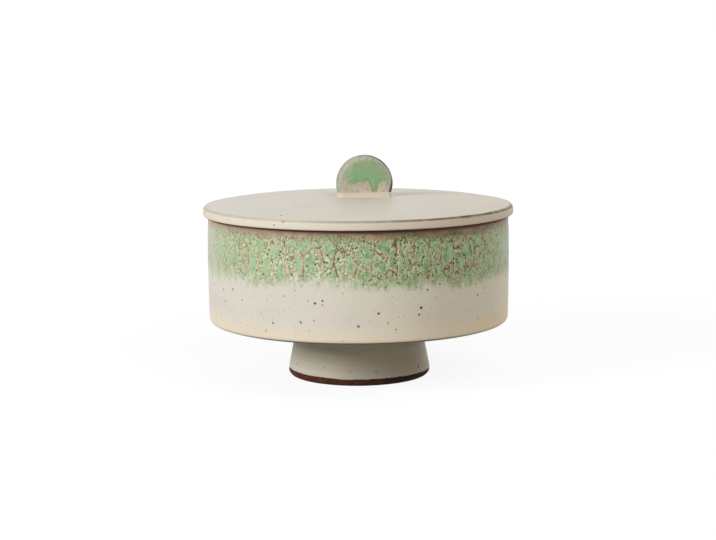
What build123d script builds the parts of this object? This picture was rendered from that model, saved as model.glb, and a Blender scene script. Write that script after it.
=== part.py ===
from build123d import *
import os
from math import hypot, sqrt

# A round stoneware box on a flared foot, with a low-crowned lid and a round tab for a knob.
# Millimetres, +Z up. The origin is on the box's axis, on the surface that the foot stands on.

# Foot, a hollow ring that flares towards its base
foot_height = 26.25
foot_top_radius = 28.8
foot_base_radius = 33.95  # where the flare would meet the table, before the edge is rounded
foot_wall = 7.0
foot_edge_radius = 2.3
foot_inner_edge_radius = 1.5

# Bowl, a drum whose wall swells slightly between the heel and the rim
bowl_radius = 70.05
bowl_belly = 0.4
bowl_height = 49.75
bowl_wall = 5.0
bowl_floor = 6.0
bowl_heel_radius = 1.8
bowl_inner_corner_radius = 8.0
rim_edge_radius = 1.2

# Lid, a plate with a rounded edge that overhangs the bowl
lid_overhang = 2.45
lid_undercut = 0.25  # how far the edge draws in again below its widest line
lid_lower_edge_radius = 0.7
lid_widest_height = 1.7  # of the edge's widest line, above the seat
lid_arris_inset = 1.1  # of the line where the edge turns into the top, from the widest line
lid_arris_height = 4.3
lid_shoulder_width = 11.35
lid_shoulder_rise = 1.6
lid_crown_rise = 1.75
lid_recess = 2.4  # hollow under the crown, inside the flange

# Flange under the lid, which drops inside the rim
flange_clearance = 0.8
flange_wall = 4.0
flange_depth = 6.0
flange_edge_radius = 1.3

# Knob, a round tab that stands on edge, set a little off the centre and a little turned
knob_radius = 13.35
knob_thickness = 7.0
knob_height = 19.6  # above the lid's crown
knob_edge_radius = 2.2
knob_offset = 3.05
knob_turn = 8.0  # degrees about the vertical

# Coil of clay smoothed round the knob's base
fillet_height = 2.0
fillet_reach = 0.9
fillet_hollow = 0.15  # how far the coil's face is hollowed below a straight slope
crown_flat_margin = 1.0  # flat crown left round the coil

# Places that follow from the sizes above
rim_level = foot_height + bowl_height
bowl_inner_radius = bowl_radius - bowl_wall
lid_radius = bowl_radius + lid_overhang
arris_radius = lid_radius - lid_arris_inset
arris_level = rim_level + lid_arris_height
shoulder_radius = arris_radius - lid_shoulder_width
shoulder_level = arris_level + lid_shoulder_rise
crown_level = shoulder_level + lid_crown_rise
flange_radius = bowl_inner_radius - flange_clearance
flange_inner_radius = flange_radius - flange_wall
knob_center_level = crown_level + knob_height - knob_radius
knob_edge = min(knob_edge_radius, 0.45 * knob_thickness)

# The tab's width where the coil's top meets it
fillet_top_drop = knob_center_level - crown_level - fillet_height
coil_length = 2 * sqrt(knob_radius**2 - fillet_top_drop**2)
coil_half_diagonal = hypot(coil_length / 2 + fillet_reach, knob_thickness / 2 + fillet_reach)
crown_flat_radius = knob_offset + coil_half_diagonal + crown_flat_margin


def turned(section):
    """The solid that a section, drawn as radius and height, sweeps round the axis."""
    return revolve(Plane.XZ * section, Axis.Z)


def corner(section, radius, level):
    """The section's corner nearest to a place."""
    return section.vertices().sort_by_distance((radius, level))[0]


def block_section(inner_radius, outer_radius, low, high):
    """A rectangle between two radii and two levels."""
    middle = Pos((inner_radius + outer_radius) / 2, (low + high) / 2)
    return middle * Rectangle(outer_radius - inner_radius, high - low)


def make_foot():
    base_inner = foot_base_radius - foot_wall
    top_inner = foot_top_radius - foot_wall
    outline = Polyline(
        (base_inner, 0),
        (foot_base_radius, 0),
        (foot_top_radius, foot_height),
        (top_inner, foot_height),
        close=True,
    )
    section = make_face(outline)
    section = fillet(corner(section, foot_base_radius, 0), foot_edge_radius)
    section = fillet(corner(section, base_inner, 0), foot_inner_edge_radius)
    return turned(section)


def make_bowl():
    middle_level = foot_height + bowl_height / 2
    heel = (bowl_radius, foot_height)
    rim = (bowl_radius, rim_level)
    wall = ThreePointArc(heel, (bowl_radius + bowl_belly, middle_level), rim)
    rest = Polyline(rim, (0, rim_level), (0, foot_height), heel)
    drum = make_face(wall + rest)
    drum = fillet(corner(drum, *heel), bowl_heel_radius)
    floor_level = foot_height + bowl_floor
    cavity = block_section(0, bowl_inner_radius, floor_level, rim_level)
    cavity = fillet(corner(cavity, bowl_inner_radius, floor_level), bowl_inner_corner_radius)
    section = drum - cavity
    section = fillet(section.vertices().group_by(Axis.Y)[-1], rim_edge_radius)
    return turned(section)


def make_lid():
    lower_edge = (lid_radius - lid_undercut, rim_level)
    widest = (lid_radius, rim_level + lid_widest_height)
    arris = (arris_radius, arris_level)
    shoulder = (shoulder_radius, shoulder_level)
    crown = (crown_flat_radius, crown_level)
    edge = ThreePointArc(lower_edge, widest, arris)
    crown_arc = TangentArc(crown, shoulder, tangent=(1, 0))
    shoulder_arc = TangentArc(shoulder, arris, tangent=crown_arc % 1)
    rest = Polyline(crown, (0, crown_level), (0, rim_level), lower_edge)
    section = make_face(edge + crown_arc + shoulder_arc + rest)
    section = fillet(corner(section, *lower_edge), lid_lower_edge_radius)
    recess = block_section(0, flange_inner_radius, rim_level, rim_level + lid_recess)
    return turned(section - recess)


def make_lid_flange():
    section = block_section(flange_inner_radius, flange_radius, rim_level - flange_depth, rim_level)
    section = fillet(section.vertices().group_by(Axis.Y)[0], flange_edge_radius)
    return turned(section)


def at_knob(level):
    """The place on the knob's own upright at a level."""
    return Pos(knob_offset, 0, level) * Rot(0, 0, knob_turn)


def make_knob():
    disc = Cylinder(knob_radius, knob_thickness)
    disc = fillet(disc.edges().filter_by(GeomType.CIRCLE), knob_edge)
    tab = at_knob(knob_center_level) * Rot(90, 0, 0) * disc
    room = 2 * (knob_radius + knob_thickness)
    above_crown = at_knob(crown_level + room / 2) * Box(room, room, room)
    return tab & above_crown


def make_knob_fillet():
    path = RectangleRounded(coil_length, knob_thickness, knob_edge).wire()
    outward = (path % 0).cross(Vector(0, 0, 1))
    across = Plane(origin=path @ 0, x_dir=outward, z_dir=-(path % 0))
    slope_length = hypot(fillet_reach, fillet_height)
    hollow_point = (
        fillet_reach / 2 - fillet_hollow * fillet_height / slope_length,
        fillet_height / 2 - fillet_hollow * fillet_reach / slope_length,
    )
    toe = (fillet_reach, 0)
    top = (0, fillet_height)
    slope = ThreePointArc(toe, hollow_point, top)
    section = across * make_face(slope + Polyline(top, (0, 0), toe))
    return at_knob(crown_level) * sweep(section, path)


pieces = {
    "foot": make_foot(),
    "bowl": make_bowl(),
    "lid": make_lid(),
    "lid_flange": make_lid_flange(),
    "knob": make_knob(),
    "knob_fillet": make_knob_fillet(),
}

os.makedirs("parts", exist_ok=True)
for name, solid in pieces.items():
    export_step(solid, f"parts/{name}.step")
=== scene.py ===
from itertools import pairwise
from math import atan2, cos, dist, pi, radians, remainder, sin, tan, tau
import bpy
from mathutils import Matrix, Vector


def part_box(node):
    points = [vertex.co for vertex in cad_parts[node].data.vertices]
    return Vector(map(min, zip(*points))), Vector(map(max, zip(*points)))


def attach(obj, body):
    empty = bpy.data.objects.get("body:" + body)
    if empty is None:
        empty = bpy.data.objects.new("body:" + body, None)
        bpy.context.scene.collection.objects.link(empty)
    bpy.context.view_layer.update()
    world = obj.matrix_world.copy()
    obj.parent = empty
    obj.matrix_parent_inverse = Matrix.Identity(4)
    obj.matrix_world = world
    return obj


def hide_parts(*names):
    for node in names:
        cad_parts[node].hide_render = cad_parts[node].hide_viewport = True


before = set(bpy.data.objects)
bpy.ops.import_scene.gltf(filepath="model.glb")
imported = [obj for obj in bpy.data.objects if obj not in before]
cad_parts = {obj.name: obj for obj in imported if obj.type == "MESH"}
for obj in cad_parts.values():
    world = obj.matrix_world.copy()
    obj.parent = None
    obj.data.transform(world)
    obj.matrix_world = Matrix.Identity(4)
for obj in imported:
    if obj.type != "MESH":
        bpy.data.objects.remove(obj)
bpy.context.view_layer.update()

from types import SimpleNamespace

import bmesh
import bpy
from mathutils import Matrix, Vector

# The dressed stoneware box. Sections, patterns and named sizes are in millimetres, objects in metres.
MM = 0.001


def corners(node):
    """The lowest and highest corners of a CAD node, in millimetres."""
    low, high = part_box(node)
    return low / MM, high / MM


# Levels and outer sizes of the CAD model
bowl_low, bowl_high = corners("bowl")
lid_high = corners("lid")[1]
flange_low, flange_high = corners("lid_flange")
knob_low, knob_high = corners("knob")
heel_level = bowl_low.z
rim_level = bowl_high.z
crown_level = lid_high.z
bowl_radius = bowl_high.x  # at the belly
lid_radius = lid_high.x
knob_place = (knob_low + knob_high) / 2

# Bowl
bowl_belly = 0.4  # how far the wall swells between the heel and the rim
bowl_wall = 5.0
bowl_floor = 6.0
heel_radius = 1.8
inner_corner_radius = 8.0
rim_edge_radius = 1.2
bowl_end_radius = bowl_radius - bowl_belly
bowl_inner_radius = bowl_end_radius - bowl_wall

# Foot
foot_top_radius = 28.8
foot_wall = 7.0
foot_base_radius = 33.95  # where the flare would meet the table, before the edge is rounded
foot_edge_radius = 2.3
foot_inner_edge_radius = 1.5
foot_inner_radius = foot_base_radius - foot_wall

# Lid and its flange
lid_recess = 2.4  # hollow under the crown, inside the flange
lid_lower_edge_radius = 0.9
lid_steep_height = 2.8  # of the edge's steep part, above the seat
lid_steep_inset = 0.15
lid_steep_direction = radians(-86)
lid_arris_inset = 1.1  # of the line where the edge turns into the top, from the widest line
lid_arris_height = 4.3
lid_step_drop = 0.5  # the small step from the top down to the rounded edge
lid_step_lean = 0.1
lid_shoulder_width = 11.35
lid_crown_rise = 1.75
lid_crown_radius = 18.3  # of the flat crown round the knob
arris_radius = lid_radius - lid_arris_inset
arris_level = rim_level + lid_arris_height
shoulder_radius = arris_radius - lid_shoulder_width
shoulder_level = crown_level - lid_crown_rise
flange_radius = flange_high.x
flange_wall = 4.0
flange_edge_radius = 1.3
flange_inner_radius = flange_radius - flange_wall

# Knob and the coil of clay round its base
knob_radius = 13.35
knob_thickness = 7.0
knob_edge_radius = 2.2
knob_turn = radians(8.0)
knob_center_level = knob_high.z - knob_radius
coil_length = 25.31  # the knob's width at the top of the coil
coil_height = 2.0
coil_reach = 0.9
coil_hollow = 0.15  # how far the coil's face is hollowed below a straight slope
coil_inset = 0.6  # how far the coil goes into the knob
coil_overlap = 0.3  # how far it goes on above its top, inside the knob
coil_sink = 0.1  # how far it goes into the lid


# Colours

def paint(red, green, blue):
    """A colour written in screen values from 0 to 255, as the linear colour that a shader takes."""
    linear = []
    for value in (red, green, blue):
        share = value / 255  # then the sRGB curve
        linear.append(share / 12.92 if share <= 0.04045 else ((share + 0.055) / 1.055) ** 2.4)
    return (*linear, 1.0)


# Cream glaze and its iron specks
CREAM = paint(221, 214, 201)
COOL_CREAM = paint(215, 210, 198)
WARMER_RIGHT_CREAM = paint(222, 210, 183)
WARM_CREAM = paint(237, 220, 193)
ORANGE_RIGHT_CREAM = paint(232, 207, 167)
# partly painted shade and warm bounce from the bowl, on the foot
FOOT_CREAM = paint(179, 163, 119)
COIL_CREAM = paint(205, 190, 169)
SPECK = paint(38, 29, 14)
FAINT_SPECK = paint(130, 112, 72)
SPECK_HALO = paint(190, 166, 106)

# Green glaze
PALE_GREEN = paint(208, 211, 189)
PALE_MOSS = paint(206, 203, 164)
FROST = paint(220, 222, 205)
CALM_GREEN = paint(211, 213, 199)
SAGE = paint(151, 171, 117)
LIGHT_SAGE = paint(188, 200, 162)
MINT = paint(170, 199, 158)
DEEP_MINT = paint(116, 153, 89)
FLECK = paint(238, 235, 205)
DULL_FLECK = paint(187, 181, 126)
KNOB_GREEN = paint(142, 167, 127)
KNOB_MINT = paint(130, 173, 125)
KNOB_DARK = paint(92, 128, 80)

# Thin or broken glaze
TAN = paint(212, 190, 158)
PINK_TAN = paint(196, 160, 138)
OLIVE = paint(122, 102, 72)
BARK = paint(74, 65, 33)
RUST = paint(104, 72, 52)
IRON = paint(52, 37, 28)
RIM_BROWN = paint(160, 124, 101)
# painted shade along the underside of the bowl's heel
HEEL_SHADE_BROWN = paint(56, 43, 32)
LINE_BROWN = paint(88, 70, 58)
LINE_OLIVE = paint(92, 77, 46)
KNOB_PINK = paint(205, 182, 170)
KNOB_GREY = paint(185, 178, 164)
KNOB_PALE = paint(226, 208, 196)
RIM_GREY = paint(142, 159, 143)

# Clay
CLAY = paint(90, 47, 34)
DARK_CLAY = paint(60, 33, 25)
# painted shade on the bare clay at the foot's right
SHADED_RIGHT_CLAY = paint(32, 22, 16)


# Turned shapes

crease_angle = radians(50)  # edges that turn by more stay sharp


class Profile:
    """A section drawn point by point as radius and level. Each point becomes a ring of segments."""

    def __init__(self, start, segments):
        self.rings = [(*start, segments)]
        self.segments = segments
        self.direction = 0.0

    def line_to(self, end, step):
        """Points about a step apart on a straight line."""
        start = self.rings[-1][:2]
        self.direction = atan2(end[1] - start[1], end[0] - start[0])
        count = max(1, round(dist(start, end) / step))
        for index in range(1, count + 1):
            share = index / count
            radius = start[0] + share * (end[0] - start[0])
            level = start[1] + share * (end[1] - start[1])
            self.rings.append((radius, level, self.segments))

    def round_to(self, corner, beyond, radius, step, steps):
        """A straight line towards a corner, then the corner rounded on the way to a point beyond it."""
        start, corner, beyond = Vector(self.rings[-1][:2]), Vector(corner), Vector(beyond)
        arriving = (corner - start).normalized()
        leaving = (beyond - corner).normalized()
        cut = radius * tan(arriving.angle(leaving) / 2)
        self.line_to(tuple(corner - cut * arriving), step)
        self.arc_to(tuple(corner + cut * leaving), steps)

    def arc_to(self, end, steps, arriving=None):
        """A circular arc. It goes on from the last direction, unless its arriving one is given."""
        start = self.rings[-1][:2]
        chord_direction = atan2(end[1] - start[1], end[0] - start[0])
        leaving = self.direction if arriving is None else 2 * chord_direction - arriving
        half_turn = remainder(chord_direction - leaving, tau)
        chord = dist(start, end)
        for index in range(1, steps + 1):
            turn = index / steps * half_turn
            length = chord * sin(turn) / sin(half_turn)
            radius = start[0] + length * cos(leaving + turn)
            level = start[1] + length * sin(leaving + turn)
            self.rings.append((radius, level, self.segments))
        self.direction = leaving + 2 * half_turn


def bridge(shape, first, second):
    """Faces between two rings of vertices. One ring may have several times as many as the other."""
    coarse, fine = sorted((first, second), key=len)
    ratio = len(fine) // len(coarse)
    for index, vertex in enumerate(fine):
        following = (index + 1) % len(fine)
        here = coarse[index // ratio]
        there = coarse[following // ratio]
        face = [here, vertex, fine[following]]
        if there is not here:
            face.append(there)
        shape.faces.new(face)


def cover_with_faces(shape, loops):
    """Faces between each loop of vertices and the next, all facing outwards."""
    for first, second in pairwise(loops):
        bridge(shape, first, second)
    bmesh.ops.recalc_face_normals(shape, faces=shape.faces)


def turned(profile):
    """The closed surface that a profile sweeps round the Z axis, still in millimetres."""
    shape = bmesh.new()
    loops = []
    for radius, level, segments in profile.rings:
        count = segments if radius > 0 else 1
        loop = []
        for index in range(count):
            angle = tau * index / count
            loop.append(shape.verts.new((radius * cos(angle), radius * sin(angle), level)))
        loops.append(loop)
    if len(loops[0]) > 1:
        loops.append(loops[0])
    cover_with_faces(shape, loops)
    return shape


def new_object(name, data):
    """An object in the scene, made of a mesh, a lamp or a camera."""
    thing = bpy.data.objects.new(name, data)
    bpy.context.scene.collection.objects.link(thing)
    return thing


def new_piece(name, shape):
    """A smooth-shaded object from a shape in millimetres."""
    shape.transform(Matrix.Scale(MM, 4))
    mesh = bpy.data.meshes.new(name)
    shape.to_mesh(mesh)
    shape.free()
    mesh.shade_smooth()
    mesh.set_sharp_from_angle(angle=crease_angle)
    return new_object(name, mesh)


# Values that vary over a surface

class Field:
    """A value at each point of a surface: an output in a node tree. Arithmetic adds nodes to it."""

    def __init__(self, tree, socket):
        self.tree = tree
        self.socket = socket

    def math(self, operation, *others):
        return add_node(self.tree, "ShaderNodeMath", (self, *others), operation=operation)

    def vector_math(self, operation, other):
        return add_node(self.tree, "ShaderNodeVectorMath", (self, other), operation=operation)

    def __add__(self, other):
        return self.math("ADD", other)

    def __sub__(self, other):
        return self.math("SUBTRACT", other)

    def __mul__(self, other):
        return self.math("MULTIPLY", other)

    def __rsub__(self, other):
        return self * -1.0 + other

    __radd__ = __add__
    __rmul__ = __mul__

    def __abs__(self):
        return self.math("ABSOLUTE")

    def rise(self, low, high):
        """0 up to low and 1 from high on, smooth between them."""
        inputs = (self, low, high, 0.0, 1.0)
        return add_node(self.tree, "ShaderNodeMapRange", inputs, interpolation_type="SMOOTHSTEP")

    def fall(self, low, high):
        """1 up to low and 0 from high on, smooth between them."""
        return 1.0 - self.rise(low, high)

    def part(self, axis):
        """One coordinate of a place."""
        return add_node(self.tree, "ShaderNodeSeparateXYZ", (self,), output=axis)

    def stretched(self, *factors):
        """A place with its coordinates multiplied one by one."""
        return self.vector_math("MULTIPLY", factors)

    def moved(self, offset):
        """A place moved by an offset."""
        return self.vector_math("ADD", offset)

    def length(self):
        """The distance of a place from the origin."""
        return add_node(self.tree, "ShaderNodeVectorMath", (self,), output="Value", operation="LENGTH")

    def beside(self, name):
        """Another output of the same node."""
        return Field(self.tree, self.socket.node.outputs[name])


def add_node(tree, kind, inputs=(), output=0, **settings):
    """A new node with its settings and inputs, given in order or by name, and one of its outputs."""
    node = tree.nodes.new(kind)
    for name, value in settings.items():
        setattr(node, name, value)
    pairs = inputs.items() if isinstance(inputs, dict) else enumerate(inputs)
    for key, value in pairs:
        if isinstance(value, Field):
            tree.links.new(value.socket, node.inputs[key])
        else:
            node.inputs[key].default_value = value
    return Field(tree, node.outputs[output])


def end_tree(kind, field):
    """Adds the output node of a tree, fed by a field."""
    node = field.tree.nodes.new(kind)
    field.tree.links.new(field.socket, node.inputs[0])


def mix(amount, low, high):
    """A colour from low to high as amount goes from 0 to 1."""
    inputs = {0: amount, 6: low, 7: high}  # by number, because colours and plain values share names
    return add_node(amount.tree, "ShaderNodeMix", inputs, output=2, data_type="RGBA")


def noise(place, size, detail=2.0):
    """Smooth noise from 0 to 1, with lumps of about a size."""
    inputs = {"Vector": place, "Scale": 1 / size, "Detail": detail}
    return add_node(place.tree, "ShaderNodeTexNoise", inputs)


def sway(place, size, detail=2.0):
    """Smooth noise from -0.5 to 0.5, with lumps of about a size."""
    return noise(place, size, detail) - 0.5


def drift(place, size, amount):
    """A place moved about by smooth noise, up to about an amount each way."""
    wander = noise(place, size).beside("Color").moved((-0.5, -0.5, -0.5))
    return place.moved(wander.stretched(2 * amount, 2 * amount, 2 * amount))


def cell_edges(place, size):
    """The distance to the nearest edge of uneven cells of about a size."""
    inputs = {"Vector": place, "Scale": 1 / size}
    return add_node(place.tree, "ShaderNodeTexVoronoi", inputs, feature="DISTANCE_TO_EDGE") * size


def spots(place, spacing, radius, softness=0.12):
    """1 in round spots of uneven size up to a radius, about a spacing apart, and 0 elsewhere."""
    smallest = 0.35  # as a share of the radius
    distance = add_node(place.tree, "ShaderNodeTexVoronoi", {"Vector": place, "Scale": 1 / spacing})
    chance = distance.beside("Color").part("X")
    own_radius = radius * (smallest + (1 - smallest) * chance)
    return (own_radius - distance * spacing).rise(-softness, softness)


def drawn_down(place, squeeze):
    """A place with its height squeezed, so that a pattern there is drawn out downwards."""
    return place.stretched(1, 1, squeeze)


def around(place):
    """A place without its height, for what changes only round the axis."""
    return place.stretched(1, 1, 0)


def distance_from_axis(place):
    return around(place).length()


def rightward(place, radius):
    """From -1 at the left to 1 at the right of something of a radius."""
    return place.part("X") * (1 / radius)


def frontward(place, radius):
    """From -1 at the back to 1 at the front of something of a radius."""
    return place.part("Y") * (-1 / radius)


def on_cylinder(place, radius):
    """A place brought straight out or in to a radius, so that relief doesn't shift a pattern."""
    terms = (radius, distance_from_axis(place))
    factor = add_node(place.tree, "ShaderNodeMath", terms, operation="DIVIDE")
    factors = add_node(place.tree, "ShaderNodeCombineXYZ", (factor, factor, 1.0))
    return place.vector_math("MULTIPLY", factors)


def carve(piece, relief):
    """Moves a piece's surface along its normals by relief(place), in millimetres, for good."""
    tree = bpy.data.node_groups.new(piece.name + "_relief", "GeometryNodeTree")
    for direction in ("INPUT", "OUTPUT"):
        tree.interface.new_socket("Geometry", in_out=direction, socket_type="NodeSocketGeometry")
    source = add_node(tree, "NodeGroupInput")
    place = add_node(tree, "GeometryNodeInputPosition").stretched(1 / MM, 1 / MM, 1 / MM)
    normal = add_node(tree, "GeometryNodeInputNormal")
    depth = relief(place) * MM
    inputs = {"Vector": normal, "Scale": depth}
    offset = add_node(tree, "ShaderNodeVectorMath", inputs, operation="SCALE")
    moved = add_node(tree, "GeometryNodeSetPosition", {"Geometry": source, "Offset": offset})
    end_tree("NodeGroupOutput", moved)
    piece.modifiers.new("relief", "NODES").node_group = tree
    evaluated = piece.evaluated_get(bpy.context.evaluated_depsgraph_get())
    carved = bpy.data.meshes.new_from_object(evaluated)
    piece.modifiers.clear()
    piece.data = carved


# Patterns that both the relief and the colours follow, with amounts from 0 to 1

band_height = 24.4  # how far down from the rim the green glaze ran, on average
bare_height = 2.6  # within about this of the rim the glaze is thin and brown
clay_height = 1.1  # within this of the rim the clay is bare
cell_size = 5.2  # of the cells that the crawling glaze drew together in
mesh_size = 0.74  # of the fine mesh between them
foot_clay_height = 2.9  # of the bare strip along the foot's base, on average


def outside_bowl(place):
    """1 on the bowl's outer face and 0 inside it, changing over on the rim's top."""
    change = 0.8
    edge_start = bowl_end_radius - rim_edge_radius
    return distance_from_axis(place).rise(edge_start - change, edge_start)


def band_strength(wall):
    """How calm, how strong and how dull the green is made at each place round the bowl: calm and pale at
    the left and right sides, weak at the far left and dull towards the right.
    """
    along = rightward(wall, bowl_radius)
    facing = frontward(wall, bowl_radius)
    facing = facing + 0.4 * sway(drawn_down(wall, 0.4), 4.0) + 0.5 * sway(wall, 16.0)
    dull = along.rise(-0.3, 0.7)
    calm = (0.85 - 0.4 * dull) * facing.fall(0.1, 0.7) * facing.rise(-0.5, 0.0)
    strong = 0.52 + 0.48 * along.rise(-0.95, 0.3)
    strong = strong * (1.0 - 0.25 * along.rise(0.6, 0.95)) * (1.0 - 0.7 * calm)
    return calm, strong, dull


def band_cells(wall):
    """How far inside its cell each place is, and the drops of glaze that gathered in some cells."""
    inside = cell_edges(drift(drawn_down(wall, 0.44), size=2.6, amount=1.1), cell_size)
    chosen = noise(drawn_down(wall, 0.6), 5.0).rise(0.38, 0.5)
    drop = (inside + 1.2 * sway(wall, 1.6)).rise(0.5, 0.85) * chosen
    return inside, drop


def crawled_band(place):
    """Masks of the green glaze that ran down the bowl's wall and crawled."""
    wall = on_cylinder(place, bowl_radius)
    depth = rim_level - wall.part("Z")
    along = rightward(wall, bowl_radius)
    calm, strong, dull = band_strength(wall)
    inside, drop = band_cells(wall)

    # The streaked and wandering lower edge, with a frosted stretch
    streak = sway(drawn_down(wall, 0.4), 2.8, detail=4.0)
    wander = sway(around(wall), 24.0)
    frosted = abs(along + 0.22).fall(0.05, 0.35)
    edge_depth = band_height + 1.2 * along - 8.0 * streak - 4.0 * wander - 2.5 * frosted + 1.6 * drop
    above_edge = edge_depth - depth
    at_edge = above_edge.rise(-5.0, -1.0) * above_edge.fall(1.0, 6.0)

    # Pools in the cells, with rolled ridges and cracks round some of them
    under_rim = depth.rise(3.5, 6.0)
    fading = 0.25 + 0.75 * above_edge.rise(0.0, 8.0)
    pool = drop * under_rim * fading * (1.0 - 0.4 * calm)
    outlined = noise(drawn_down(wall, 0.5), 2.6).rise(0.45, 0.55) * under_rim * (1.0 - 0.5 * calm)
    ridge = inside.rise(0.1, 0.3) * inside.fall(0.5, 0.8) * outlined
    crack = inside.fall(0.05, 0.21) * outlined

    # The fine mesh between them, of pale seams and dark dashes
    maze = noise(drawn_down(wall, 0.75), mesh_size, detail=1.0)
    between = (1.0 - 0.85 * pool) * (1.0 - 0.6 * ridge)
    thick = 0.4 + 0.6 * above_edge.rise(0.0, 6.0)
    patch = 0.6 + 0.4 * noise(drawn_down(wall, 0.6), 5.5).rise(0.36, 0.58)
    seam = maze.rise(0.52, 0.59) * patch * (0.5 + 0.5 * along.rise(-0.95, -0.1))
    dash = maze.fall(0.41, 0.48) * patch

    bare_edge = bare_height + 8.0 * sway(around(wall), 9.0) + 5.0 * sway(wall, 1.3)
    return SimpleNamespace(
        cover=above_edge.rise(-2.5, 3.0),
        haze=above_edge.rise(-6.0, 0.5),
        frost=spots(wall, spacing=1.9, radius=0.8, softness=0.35) * (0.6 + 0.4 * frosted) * at_edge,
        pool=pool,
        ridge=ridge,
        crack=crack * strong * thick,
        seam=seam * between * (1.0 - 0.6 * calm),
        dash=dash * between * strong * thick,
        pit=spots(wall, spacing=2.6, radius=0.52) * (1.0 - calm),
        upper=depth.fall(2.5, 6.5) * (0.8 + 0.4 * along.rise(0.1, 0.7)),
        bare=(bare_edge - depth).rise(-1.3, 0.8),
        # partly painted shade of the lid's overhang, partly glaze thinning to the clay, just below the
        # bare rim
        rim_shade_and_thin_glaze=depth.fall(clay_height, clay_height + 1.5),
        calm=calm,
        grain=noise(drawn_down(wall, 0.2), 1.8, detail=3.0).rise(0.4, 0.62),
        strong=strong,
        dull=dull,
    )


def throwing_lines(place, spacing):
    """Faint level ridges from the wheel, which hardly change round the wall."""
    across = 0.02  # how fast they change sideways, as a share of upwards
    return noise(place.stretched(across, across, 1), spacing, detail=1.0)


def turning_lines(place, spacing):
    """Faint round ridges from the wheel on a flat face."""
    ring = add_node(place.tree, "ShaderNodeCombineXYZ", (distance_from_axis(place), 0.0, 0.0))
    return noise(ring, spacing, detail=1.0)


def foot_glaze_cover(place):
    """1 where the foot is glazed, down to an uneven line above its base, and 0 on the bare clay."""
    waver = sway(around(place), 14.0) + 0.5 * sway(around(place), 2.5)
    toward_front = frontward(place, foot_base_radius).rise(-0.2, 1.0)
    toward_left = rightward(place, foot_base_radius).fall(-1.0, -0.3)
    line = foot_clay_height + 0.5 * toward_front + 0.5 * toward_left + waver
    outside = distance_from_axis(place).rise(foot_inner_radius + 0.35, foot_inner_radius + 0.85)
    return (place.part("Z") - line).rise(-0.18, 0.18) * outside


def on_tab(place):
    """A place in the knob's own axes: X along its face, Y through it, Z up from the lid's crown."""
    inputs = {"Vector": place, "Center": (knob_place.x, 0, 0), "Angle": -knob_turn}
    straight = add_node(place.tree, "ShaderNodeVectorRotate", inputs, rotation_type="Z_AXIS")
    return straight.moved((-knob_place.x, 0, -crown_level))


# The knob's green glaze runs down to a level, and drips run below it. A drip has its place along the
# face, its half width and the level of its tip.
glaze_level = 7.8
front_drips = ((3.9, 1.8, 3.3), (-5.2, 1.1, 6.7), (11.0, 1.2, 6.4))
back_drips = ((-4.6, 2.0, 3.1), (5.6, 1.5, 4.4))


def glaze_edge(across, drips):
    """The level down to which the green glaze ran, along the face."""
    edge = glaze_level
    for center, half_width, tip in drips:
        drip = abs(across - center).fall(0.4 * half_width, 1.5 * half_width)
        edge = edge - (glaze_level - tip) * drip
    return edge


def knob_glaze(place):
    """Masks of the glaze on the knob."""
    face_center = 1.4  # of the green on the face, which lies a little to the right
    tab = on_tab(place)
    across, through, level = tab.part("X"), tab.part("Y"), tab.part("Z")
    reach = tab.moved((0, 0, crown_level - knob_center_level)).stretched(1, 0, 1).length()
    back = through.rise(-0.5, 0.5)
    front_edge = glaze_edge(across, front_drips)
    edge = front_edge + back * (glaze_edge(across, back_drips) - front_edge)
    ragged = sway(place, 1.7, detail=3.0)
    above = level - edge - 5.0 * ragged
    face = (reach + 4.0 * ragged).fall(knob_radius - 3.1, knob_radius - 1.1)
    face = face * (abs(across - face_center) + 9.0 * ragged).fall(6.8, 11.8)
    stained = (level - edge - 3.0 * ragged).rise(-3.0, 2.0)
    # Painted shade: the reach grows at the lower right, so that the dark arris line is wider there.
    reach_with_painted_shade = reach + 0.9 * across.rise(6.0, 11.0) * level.fall(4.0, 9.0)
    speckled = noise(place, 2.0).rise(0.45, 0.6) * (0.4 + 0.6 * across.rise(0.0, 2.0))
    return SimpleNamespace(
        pool=above.rise(-2.4, 1.6) * face,
        stain=stained * reach.fall(knob_radius - 2.6, knob_radius - 1.0),
        lip=abs(above).fall(0.2, 1.0) * face * speckled,
        top=(level + 24.0 * sway(place, 4.0, detail=3.0)).rise(7.5, 14.5),
        tip=(level + 6.0 * ragged).fall(2.2, 5.0),
        rim=reach.rise(knob_radius - 2.0, knob_radius - 0.9),
        arris=reach_with_painted_shade.rise(knob_radius - 1.2, knob_radius - 0.4),
        base=level.fall(1.2, 3.6),
        right=across.rise(-3.0, 10.0),
    )


# Materials, built up coat by coat: each mix lays a colour over the last, by an amount from 0 to 1

SHINE = 0.3  # the shader's specular level, the same on glaze and clay


def empty_material(name):
    """A material with nothing in its node tree."""
    material = bpy.data.materials.new(name)
    material.use_nodes = True
    material.node_tree.nodes.clear()
    return material


def new_material(name):
    """An empty material and the place on its object, in millimetres."""
    material = empty_material(name)
    coordinates = add_node(material.node_tree, "ShaderNodeTexCoord", output="Object")
    return material, coordinates.stretched(1 / MM, 1 / MM, 1 / MM)


def finish_material(material, color, roughness, bump):
    """Gives a material its shader, with a colour, a roughness and a fine relief in millimetres."""
    tree = material.node_tree
    normal = add_node(tree, "ShaderNodeBump", {"Distance": MM, "Height": bump}, output="Normal")
    inputs = {"Base Color": color, "Roughness": roughness, "Normal": normal, "Specular IOR Level": SHINE}
    end_tree("ShaderNodeOutputMaterial", add_node(tree, "ShaderNodeBsdfPrincipled", inputs))
    return material


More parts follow.
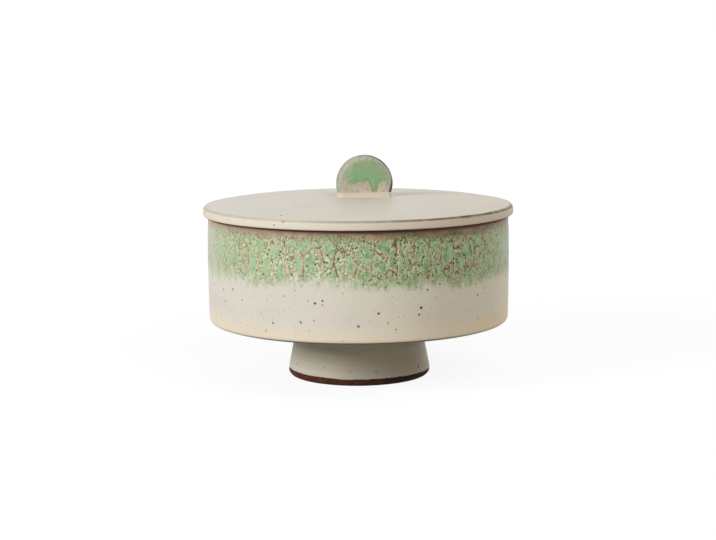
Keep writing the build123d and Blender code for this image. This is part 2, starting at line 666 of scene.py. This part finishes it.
def cream_glaze(place, speck_spacing=4.5, warmth=0.8):
    """The cream glaze's clouded colour with its iron specks, warmer towards the right."""
    cloud = noise(place, 17.0, detail=3.0).rise(0.35, 0.68)
    color = mix(cloud, CREAM, COOL_CREAM)
    warmer_right = rightward(place, bowl_radius).rise(-0.6, 1.0)
    color = mix(warmer_right * warmth, color, WARMER_RIGHT_CREAM)
    color = mix(noise(place, 1.1, detail=3.0).rise(0.45, 0.8) * 0.3, color, WARM_CREAM)
    color = mix(spots(place, spacing=0.55 * speck_spacing, radius=0.4) * 0.38, color, FAINT_SPECK)
    color = mix(spots(place, spacing=speck_spacing, radius=0.85, softness=0.35) * 0.4, color, SPECK_HALO)
    return mix(spots(place, spacing=speck_spacing, radius=0.6) * 0.95, color, SPECK)


def cream_bump(place):
    """The cream glaze's soft unevenness, with pinholes."""
    return 0.03 * noise(place, 2.4, detail=3.0) - 0.02 * spots(place, spacing=3.7, radius=0.22)


def bare_clay(place):
    """Bare red-brown stoneware with darker and paler grains."""
    color = mix(noise(place, 3.5, detail=4.0).rise(0.3, 0.7), CLAY, DARK_CLAY)
    color = mix(noise(place, 0.5, detail=2.0).rise(0.58, 0.75) * 0.5, color, RIM_BROWN)
    return mix(spots(place, spacing=2.6, radius=0.3) * 0.8, color, IRON)


def clay_bump(place):
    """Bare clay's fine grain."""
    return 0.05 * noise(place, 0.7, detail=4.0)


def band_color(band, place):
    """The crawled glaze's own colours, from its fine mesh and pools to its cracks."""
    deep = noise(place, 1.6, detail=3.0).rise(0.38, 0.62) * (0.3 + 0.7 * band.strong)
    color = mix(deep, LIGHT_SAGE, SAGE)
    color = mix(band.seam * 0.8, color, mix(band.dull, FLECK, DULL_FLECK))
    green = mix(noise(place, 2.8, detail=3.0).rise(0.4, 0.66) * band.strong, MINT, DEEP_MINT)
    color = mix(band.pool * 0.85, color, green)
    color = mix(band.upper * (0.15 + 0.62 * band.strong), color, OLIVE)
    rolled = mix(noise(place, 4.0).rise(0.45, 0.6), TAN, PINK_TAN)
    color = mix(band.ridge * 0.7, color, rolled)
    color = mix(band.dash * 0.85 + band.dull * 0.05, color, BARK)
    color = mix(band.crack * 0.9, color, RUST)
    color = mix(band.pit * 0.85, color, IRON)
    # The band is painted paler and calmer at its left and right sides.
    return mix(band.calm * 0.62, color, mix(band.grain * 0.4, CALM_GREEN, SAGE))


def make_bowl_glaze():
    material, place = new_material("bowl_glaze")
    band = crawled_band(place)
    level = place.part("Z")
    outside = outside_bowl(place)
    toward_right = rightward(place, bowl_radius).rise(0.1, 1.0)
    # Warmer and paler towards the heel, and more orange towards the right.
    heel = level.fall(heel_level + 1.5, heel_level + 12.0) * (0.7 + 0.15 * toward_right)
    color = mix(heel * outside, cream_glaze(place), mix(toward_right, WARM_CREAM, ORANGE_RIGHT_CREAM))
    # Painted shade: a dark line where the heel turns under, darkest at the front where the foot stands
    # close.
    toward_front = frontward(place, bowl_radius).rise(0.6, 0.9)
    heel_underside_shade = level.fall(heel_level + 0.4, heel_level + 1.3)
    color = mix(heel_underside_shade * (0.45 + 0.5 * toward_front), color, HEEL_SHADE_BROWN)
    haze = mix(band.dull, PALE_GREEN, PALE_MOSS)
    color = mix(band.haze * outside * (0.55 - 0.25 * band.dull), color, haze)
    color = mix(band.cover * outside, color, band_color(band, place))
    color = mix(band.frost * outside * (0.7 - 0.5 * band.dull), color, FROST)
    bared = mix(noise(place, 5.0).rise(0.4, 0.6) * band.strong, PINK_TAN, RIM_BROWN)
    bared = mix(band.dull * 0.3, bared, OLIVE)
    mottled = 0.6 + 0.4 * noise(place, 0.8).rise(0.4, 0.55)
    color = mix(band.bare * outside * mottled * (0.6 + 0.33 * band.strong), color, bared)
    # Painted shade under the lid's overhang, over glaze that thins to the clay.
    color = mix(band.rim_shade_and_thin_glaze * outside * band.strong * (0.3 + 0.4 * band.bare), color, RUST)
    rim = level.rise(rim_level - clay_height - 0.25, rim_level - clay_height + 0.25)
    color = mix(rim, color, mix(outside * 0.5, bare_clay(place), RIM_BROWN))
    roughness = 0.52 - 0.14 * band.cover * band.pool * outside + 0.2 * rim
    return finish_material(material, color, roughness, cream_bump(place))


def make_foot_glaze():
    material, place = new_material("foot_glaze")
    glazed = foot_glaze_cover(place)
    # Painted shade and warm light bounced from the bowl are partly in this darker, yellower cream, which
    # grows towards the top under the bowl.
    thin = 0.3 + 0.45 * place.part("Z").rise(0.2 * heel_level, 0.9 * heel_level)
    along = rightward(place, foot_base_radius)
    # The term in along is painted light and shade: less of the darker cream at the left, more at the
    # right.
    thin = thin + 0.5 * (throwing_lines(place, 2.0) - 0.5) + 0.12 * along
    color = mix(thin, cream_glaze(place, speck_spacing=5.5), FOOT_CREAM)
    # Painted shade: the bare clay darkened towards the right.
    clay = mix(along.rise(0.0, 0.9) * 0.9, bare_clay(place), SHADED_RIGHT_CLAY)
    color = mix(glazed, clay, color)
    roughness = 0.95 - 0.42 * glazed
    bump = cream_bump(place) * glazed + clay_bump(place) * (1.0 - glazed)
    return finish_material(material, color, roughness, bump)


def make_lid_glaze():
    material, place = new_material("lid_glaze")
    level = place.part("Z")
    radius = distance_from_axis(place)
    edge = radius.rise(arris_radius, arris_radius + 0.4)
    toward_right = rightward(place, lid_radius).rise(-0.6, 0.9)
    color = cream_glaze(place, speck_spacing=8.0, warmth=0.35)
    color = mix(edge * (0.33 + 0.2 * toward_right), color, WARM_CREAM)
    # Painted reflection and shade of the knob on the lid's top round it.
    knob_reflection_tint = on_tab(place).stretched(1.7, 1, 0).length().fall(8.0, 32.0)
    color = mix(knob_reflection_tint * 0.35, color, COIL_CREAM)
    # Painted shade: the top is greyed a little towards the right, away from the light.
    color = mix(toward_right * (1.0 - edge) * 0.1, color, KNOB_GREY)
    broken = noise(around(place), 5.0).rise(0.3, 0.6)
    near_arris = radius.rise(arris_radius - 1.2, arris_radius)
    line = near_arris * near_arris * level.rise(arris_level - 1.3, arris_level - 0.6)
    # The line where the glaze breaks at the arris is real; its growth towards the right is painted
    # shade.
    color = mix(line * (0.28 + (0.4 + 0.3 * broken) * toward_right), color, LINE_OLIVE)
    # Painted shade: the rounded edge darkened towards the right.
    color = mix(edge * toward_right * 0.25, color, RIM_BROWN)
    seat = radius.rise(flange_inner_radius, flange_inner_radius + 0.3)
    under = level.fall(rim_level + 0.1, rim_level + 0.4) * seat
    color = mix(under, color, bare_clay(place))
    roughness = 0.42 + 0.05 * noise(place, 9.0) + 0.25 * edge
    bump = cream_bump(place) + 0.02 * turning_lines(place, 1.6)
    return finish_material(material, color, roughness, bump)


def make_flange_clay():
    material, place = new_material("flange_clay")
    roughness = 0.72 + 0.1 * noise(place, 4.0)
    bump = clay_bump(place) + 0.06 * throwing_lines(place, 0.9)
    return finish_material(material, bare_clay(place), roughness, bump)


def make_knob_glaze():
    material, place = new_material("knob_glaze")
    glaze = knob_glaze(place)
    runs = drawn_down(place, 0.3)
    thin = mix(noise(runs, 1.2, detail=3.0).rise(0.38, 0.6), KNOB_PINK, KNOB_GREY)
    thin = mix(noise(runs, 1.9).rise(0.45, 0.62) * 0.45, thin, LIGHT_SAGE)
    thin = mix(noise(runs, 1.6).rise(0.54, 0.68) * 0.3, thin, RIM_BROWN)
    thin = mix(spots(place, spacing=2.4, radius=0.6, softness=0.3) * 0.5, thin, OLIVE)
    thin = mix(glaze.base * noise(place, 2.2).rise(0.35, 0.55) * 0.6, thin, KNOB_PALE)
    thin = mix(glaze.stain * (0.35 + 0.5 * noise(place, 1.5, detail=3.0)), thin, KNOB_GREEN)
    green = mix(glaze.top, KNOB_MINT, KNOB_GREEN)
    green = mix(glaze.tip * 0.7, green, KNOB_DARK)
    green = mix(noise(runs, 1.3, detail=4.0).rise(0.5, 0.7) * 0.3, green, LIGHT_SAGE)
    color = mix(glaze.pool * 0.95, thin, green)
    color = mix(glaze.lip * 0.6, color, BARK)
    rim = mix(noise(place, 1.2, detail=3.0).rise(0.42, 0.6), RIM_GREY, KNOB_GREY)
    # Tan streaks, more towards the right: partly the glaze's colour, partly a painted highlight.
    rim = mix(noise(place, 2.0).rise(0.5, 0.62) * (0.1 + 0.65 * glaze.right), rim, TAN)
    color = mix(glaze.rim * 0.8, color, rim)
    # The arris line is glaze breaking on the edge; its growth towards the right is painted shade.
    color = mix(glaze.arris * (0.12 + 0.83 * glaze.right), color, LINE_BROWN)
    color = mix(spots(place, spacing=3.2, radius=0.34) * 0.5, color, IRON)
    roughness = 0.55 - 0.15 * glaze.pool
    return finish_material(material, color, roughness, cream_bump(place))


def make_coil_glaze():
    material, place = new_material("coil_glaze")
    color = cream_glaze(place, speck_spacing=8.0)
    color = mix(0.7 + 0.3 * noise(place, 3.0, detail=3.0), color, COIL_CREAM)
    roughness = 0.55 + 0.08 * noise(place, 3.0)
    return finish_material(material, color, roughness, cream_bump(place))


# Pieces, each a turned or laid shape with a relief, whose depths are in millimetres

def dress(piece, material, body, node):
    """Gives a piece its material and its body, in place of a CAD node."""
    piece.data.materials.clear()
    piece.data.materials.append(material)
    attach(piece, body)
    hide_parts(node)


def wall_radius(level):
    """The radius of the bowl's swelling wall at a level."""
    half_height = (rim_level - heel_level) / 2
    share = (level - heel_level) / half_height - 1
    return bowl_radius - bowl_belly * share**2


def bowl_profile():
    coarse, medium, fine = 225, 450, 900  # segments round the axis
    wide_step, close_step = 0.9, 0.45  # up the wall
    longest_run = 5.0  # of the green glaze, below the band's average height
    floor_level = heel_level + bowl_floor
    heel_top = heel_level + heel_radius
    rim_start = rim_level - rim_edge_radius
    profile = Profile((0, heel_level), coarse)
    profile.line_to((wall_radius(heel_top) - heel_radius, heel_level), step=9.0)
    profile.segments = medium
    profile.arc_to((wall_radius(heel_top), heel_top), steps=7)
    fine_level = rim_level - band_height - longest_run
    level = heel_top
    while level < rim_start:
        step = wide_step if level < fine_level else close_step
        profile.segments = medium if level < fine_level else fine
        level = min(level + step, rim_start)
        profile.line_to((wall_radius(level), level), step)
    profile.segments = medium
    profile.arc_to((wall_radius(rim_start) - rim_edge_radius, rim_level), steps=5)
    profile.line_to((bowl_inner_radius + rim_edge_radius, rim_level), step=1.0)
    profile.arc_to((bowl_inner_radius, rim_start), steps=5)
    profile.segments = coarse
    profile.line_to((bowl_inner_radius, floor_level + inner_corner_radius), step=2.0)
    profile.arc_to((bowl_inner_radius - inner_corner_radius, floor_level), steps=10)
    profile.line_to((0, floor_level), step=4.0)
    return profile


def bowl_relief(place):
    """Throwing lines, the wall's slight unevenness, and the crawled glaze's pools, cracks and pits."""
    band = crawled_band(place)
    outside = outside_bowl(place)
    crawl = 0.14 * band.pool + 0.12 * band.ridge - 0.22 * band.crack - 0.12 * band.dash - 0.2 * band.pit
    uneven = 0.3 * sway(place, 45.0) + 0.05 * (throwing_lines(place, 3.0) - 0.5)
    return uneven + crawl * band.cover * (1.0 - band.bare) * outside


def make_bowl():
    piece = new_piece("glazed_bowl", turned(bowl_profile()))
    carve(piece, bowl_relief)
    dress(piece, make_bowl_glaze(), "box", "bowl")


def foot_profile():
    base_corner = (foot_base_radius, 0)
    hollow_corner = (foot_inner_radius, 0)
    hollow_top = (foot_top_radius - foot_wall, heel_level)
    profile = Profile((foot_top_radius, heel_level), segments=360)
    profile.round_to(base_corner, hollow_corner, foot_edge_radius, step=0.5, steps=12)
    profile.round_to(hollow_corner, hollow_top, foot_inner_edge_radius, step=0.7, steps=5)
    profile.line_to(hollow_top, step=1.5)
    return profile


def foot_relief(place):
    """Throwing lines and unevenness, and the glaze's edge above the bare clay."""
    uneven = 0.2 * sway(place, 25.0) + 0.05 * (throwing_lines(place, 2.4) - 0.5)
    above_table = place.part("Z").rise(0.0, 0.8)
    return (uneven + 0.18 * (foot_glaze_cover(place) - 1.0)) * above_table


def make_foot():
    piece = new_piece("glazed_foot", turned(foot_profile()))
    carve(piece, foot_relief)
    dress(piece, make_foot_glaze(), "box", "foot")


def lid_profile():
    recess_level = rim_level + lid_recess
    step_foot = (arris_radius + lid_step_lean, arris_level - lid_step_drop)
    steep_top = (lid_radius - lid_steep_inset, rim_level + lid_steep_height)
    lower_corner = (lid_radius, rim_level)
    seat_end = (flange_inner_radius, rim_level)
    profile = Profile((0, crown_level), segments=480)
    profile.line_to((lid_crown_radius, crown_level), step=2.4)
    profile.arc_to((shoulder_radius, shoulder_level), steps=20)
    profile.arc_to((arris_radius, arris_level), steps=14)
    profile.line_to(step_foot, step=0.15)
    profile.arc_to(steep_top, steps=8, arriving=lid_steep_direction)
    profile.round_to(lower_corner, seat_end, lid_lower_edge_radius, step=0.4, steps=7)
    profile.line_to(seat_end, step=1.6)
    profile.line_to((flange_inner_radius, recess_level), step=0.8)
    profile.line_to((0, recess_level), step=5.0)
    return profile


def lid_relief(place):
    """Turning lines and unevenness, on the top alone so that the seat stays flat."""
    top = place.part("Z").rise(rim_level + 1.0, rim_level + 3.0)
    uneven = 0.25 * sway(place, 40.0) + 0.04 * (turning_lines(place, 4.0) - 0.5)
    return uneven * top


def make_lid():
    piece = new_piece("glazed_lid", turned(lid_profile()))
    carve(piece, lid_relief)
    dress(piece, make_lid_glaze(), "cover", "lid")


def flange_profile():
    low = flange_low.z
    profile = Profile((flange_radius, rim_level), segments=240)
    profile.line_to((flange_radius, low + flange_edge_radius), step=0.7)
    profile.arc_to((flange_radius - flange_edge_radius, low), steps=5)
    profile.line_to((flange_inner_radius + flange_edge_radius, low), step=0.7)
    profile.arc_to((flange_inner_radius, low + flange_edge_radius), steps=5)
    profile.line_to((flange_inner_radius, rim_level), step=0.7)
    return profile


def flange_relief(place):
    """Throwing lines and unevenness."""
    return 0.08 * (throwing_lines(place, 1.3) - 0.5) + 0.12 * sway(place, 12.0)


def make_flange():
    piece = new_piece("turned_flange", turned(flange_profile()))
    carve(piece, flange_relief)
    dress(piece, make_flange_clay(), "cover", "lid_flange")


def knob_profile():
    half = knob_thickness / 2
    flat = knob_radius - knob_edge_radius
    profile = Profile((0, -half), segments=240)
    profile.line_to((flat, -half), step=0.4)
    profile.arc_to((knob_radius, knob_edge_radius - half), steps=8)
    profile.line_to((knob_radius, half - knob_edge_radius), step=0.4)
    profile.arc_to((flat, half), steps=8)
    profile.line_to((0, half), step=0.4)
    return profile


def knob_relief(place):
    """Pooled glaze on an uneven face, which lies a little low so that the glaze has room."""
    return 0.22 * knob_glaze(place).pool + 0.35 * sway(place, 9.0) - 0.15


def make_knob():
    shape = turned(knob_profile())
    stand = Matrix.Translation((knob_place.x, 0, knob_center_level))
    shape.transform(stand @ Matrix.Rotation(knob_turn, 4, "Z") @ Matrix.Rotation(pi / 2, 4, "X"))
    whole = shape.verts[:] + shape.edges[:] + shape.faces[:]
    bmesh.ops.bisect_plane(
        shape, geom=whole, plane_co=(0, 0, crown_level), plane_no=(0, 0, 1), clear_inner=True
    )
    bmesh.ops.holes_fill(shape, edges=[edge for edge in shape.edges if edge.is_boundary])
    piece = new_piece("glazed_knob", shape)
    carve(piece, knob_relief)
    dress(piece, make_knob_glaze(), "cover", "knob")


def coil_ring(outset, height):
    """Points round the knob's base, a distance out from its face and above the lid's crown."""
    per_corner = 14
    count = 180
    half_length = coil_length / 2 - knob_edge_radius
    half_width = knob_thickness / 2 - knob_edge_radius
    radius = knob_edge_radius + outset
    points = []
    for quarter, (along, aside) in enumerate(((1, 1), (-1, 1), (-1, -1), (1, -1))):
        center = Vector((along * half_length, aside * half_width, height))
        for index in range(per_corner + 1):
            turn = (quarter + index / per_corner) * pi / 2
            points.append(center + radius * Vector((cos(turn), sin(turn), 0)))
    return evenly(points, count)


def evenly(points, count):
    """Points evenly spaced along the closed line through some points."""
    closed = points + points[:1]
    travelled = [0.0]
    for first, second in pairwise(closed):
        travelled.append(travelled[-1] + (second - first).length)
    spaced = []
    index = 0
    for number in range(count):
        target = travelled[-1] * number / count
        while travelled[index + 1] < target:
            index += 1
        share = (target - travelled[index]) / (travelled[index + 1] - travelled[index])
        spaced.append(closed[index].lerp(closed[index + 1], share))
    return spaced


def coil_section():
    """Outsets and heights from inside the knob, over the hollowed face, to just under the crown."""
    steps = 9
    aslant = 0.7  # how much of the hollow's depth goes inwards, and as much downwards
    section = [(-coil_inset, -coil_sink), (-coil_inset, coil_height + coil_overlap)]
    for index in range(steps + 1):
        share = index / steps
        sag = aslant * coil_hollow * 4 * share * (1 - share)
        section.append((coil_reach * share - sag, coil_height * (1 - share) - sag))
    section.append((coil_reach + coil_sink, -coil_sink))
    return section


def coil_relief(place):
    """Soft dents left by a finger."""
    return 0.3 * sway(place, 4.5)


def make_coil():
    shape = bmesh.new()
    loops = []
    for outset, height in coil_section():
        loops.append([shape.verts.new(point) for point in coil_ring(outset, height)])
    cover_with_faces(shape, loops + loops[:1])
    stand = Matrix.Translation((knob_place.x, 0, crown_level))
    shape.transform(stand @ Matrix.Rotation(knob_turn, 4, "Z"))
    piece = new_piece("smoothed_coil", shape)
    carve(piece, coil_relief)
    dress(piece, make_coil_glaze(), "cover", "knob_fillet")


make_foot()
make_bowl()
make_lid()
make_flange()
make_knob()
make_coil()


# Floor, light and camera

def seen_directly(tree):
    """1 for rays from the camera, reflections and glass, and 0 for light that is scattered."""
    paths = add_node(tree, "ShaderNodeLightPath", output="Is Camera Ray")
    glossy = paths.beside("Is Glossy Ray")
    return paths.math("MAXIMUM", glossy).math("MAXIMUM", paths.beside("Is Transmission Ray"))


def grey(value):
    """A grey as the linear colour that a shader takes."""
    return (value, value, value, 1)


def make_floor():
    """A pale floor that shows as white with a faint shadow. Its sizes are in metres."""
    half = 40.0
    paper_grey = 0.45  # for the light that it scatters onto the object
    shadow_grey = 0.13  # for the shadow that shows on it
    dim_within, white_beyond = 0.2, 0.8
    mesh = bpy.data.meshes.new("floor")
    square = [(-half, -half, 0), (half, -half, 0), (half, half, 0), (-half, half, 0)]
    mesh.from_pydata(square, [], [(0, 1, 2, 3)])
    floor = new_object("floor", mesh)
    material = empty_material("floor_paper")
    tree = material.node_tree
    distance = add_node(tree, "ShaderNodeTexCoord", output="Object").length()
    brightness = 0.9 + 0.1 * distance.rise(dim_within, white_beyond)
    glow = add_node(tree, "ShaderNodeEmission", {"Strength": brightness})
    shade = add_node(tree, "ShaderNodeBsdfDiffuse", {"Color": grey(shadow_grey)})
    shown = add_node(tree, "ShaderNodeAddShader", (glow, shade))
    paper = add_node(tree, "ShaderNodeBsdfDiffuse", {"Color": grey(paper_grey)})
    surface = add_node(tree, "ShaderNodeMixShader", (seen_directly(tree), paper, shown))
    end_tree("ShaderNodeOutputMaterial", surface)
    mesh.materials.append(material)


def make_world():
    """White where it is seen, and a weak even light on the object."""
    weak = 0.3
    world = bpy.data.worlds.new("studio")
    world.use_nodes = True
    tree = world.node_tree
    tree.nodes.clear()
    ambient = add_node(tree, "ShaderNodeBackground", {"Color": grey(1), "Strength": weak})
    white = add_node(tree, "ShaderNodeBackground", {"Color": grey(1), "Strength": 1.0})
    surface = add_node(tree, "ShaderNodeMixShader", (seen_directly(tree), ambient, white))
    end_tree("ShaderNodeOutputWorld", surface)
    bpy.context.scene.world = world


def aim(thing, place, target, roll=0.0):
    """Puts a camera or a lamp at a place, looking at a target."""
    look = (Vector(target) - Vector(place)).to_track_quat("-Z", "Y").to_matrix().to_4x4()
    thing.matrix_world = Matrix.Translation(place) @ look @ Matrix.Rotation(roll, 4, "Z")


def make_soft_box(name, size, share, distance, turn, elevation):
    """A square lamp that gives a share of full light, turned right from the front, and raised.

    The size and the distance are in metres.
    """
    target = Vector((0, 0, 0.06))
    lamp = bpy.data.lights.new(name, "AREA")
    lamp.size = size
    lamp.energy = share * (pi * distance) ** 2
    soft_box = new_object(name, lamp)
    level_reach = distance * cos(elevation)
    offset = (level_reach * sin(turn), -level_reach * cos(turn), distance * sin(elevation))
    aim(soft_box, target + Vector(offset), target)


def make_camera():
    """The photograph's view: distance in metres, height, lens and slight roll."""
    distance = 0.7819
    elevation = radians(8.335)
    roll = radians(0.442)
    target = Vector((-0.00024, 0, 0.04887))
    lens = bpy.data.cameras.new("camera")
    lens.sensor_fit = "HORIZONTAL"
    lens.sensor_width = 36.0
    lens.lens = 83.5
    camera = new_object("camera", lens)
    place = target + distance * Vector((0, -cos(elevation), sin(elevation)))
    aim(camera, place, target, -roll)
    bpy.context.scene.camera = camera


make_floor()
make_world()
make_soft_box("key_light", size=0.45, share=0.65, distance=1.6, turn=radians(-57), elevation=radians(21))
make_soft_box("fill_light", size=1.2, share=0.372, distance=1.8, turn=radians(35), elevation=radians(44))
make_soft_box("back_light", size=0.5, share=0.22, distance=1.8, turn=radians(142), elevation=radians(12))
make_camera()
bpy.context.scene.view_settings.view_transform = "Standard"
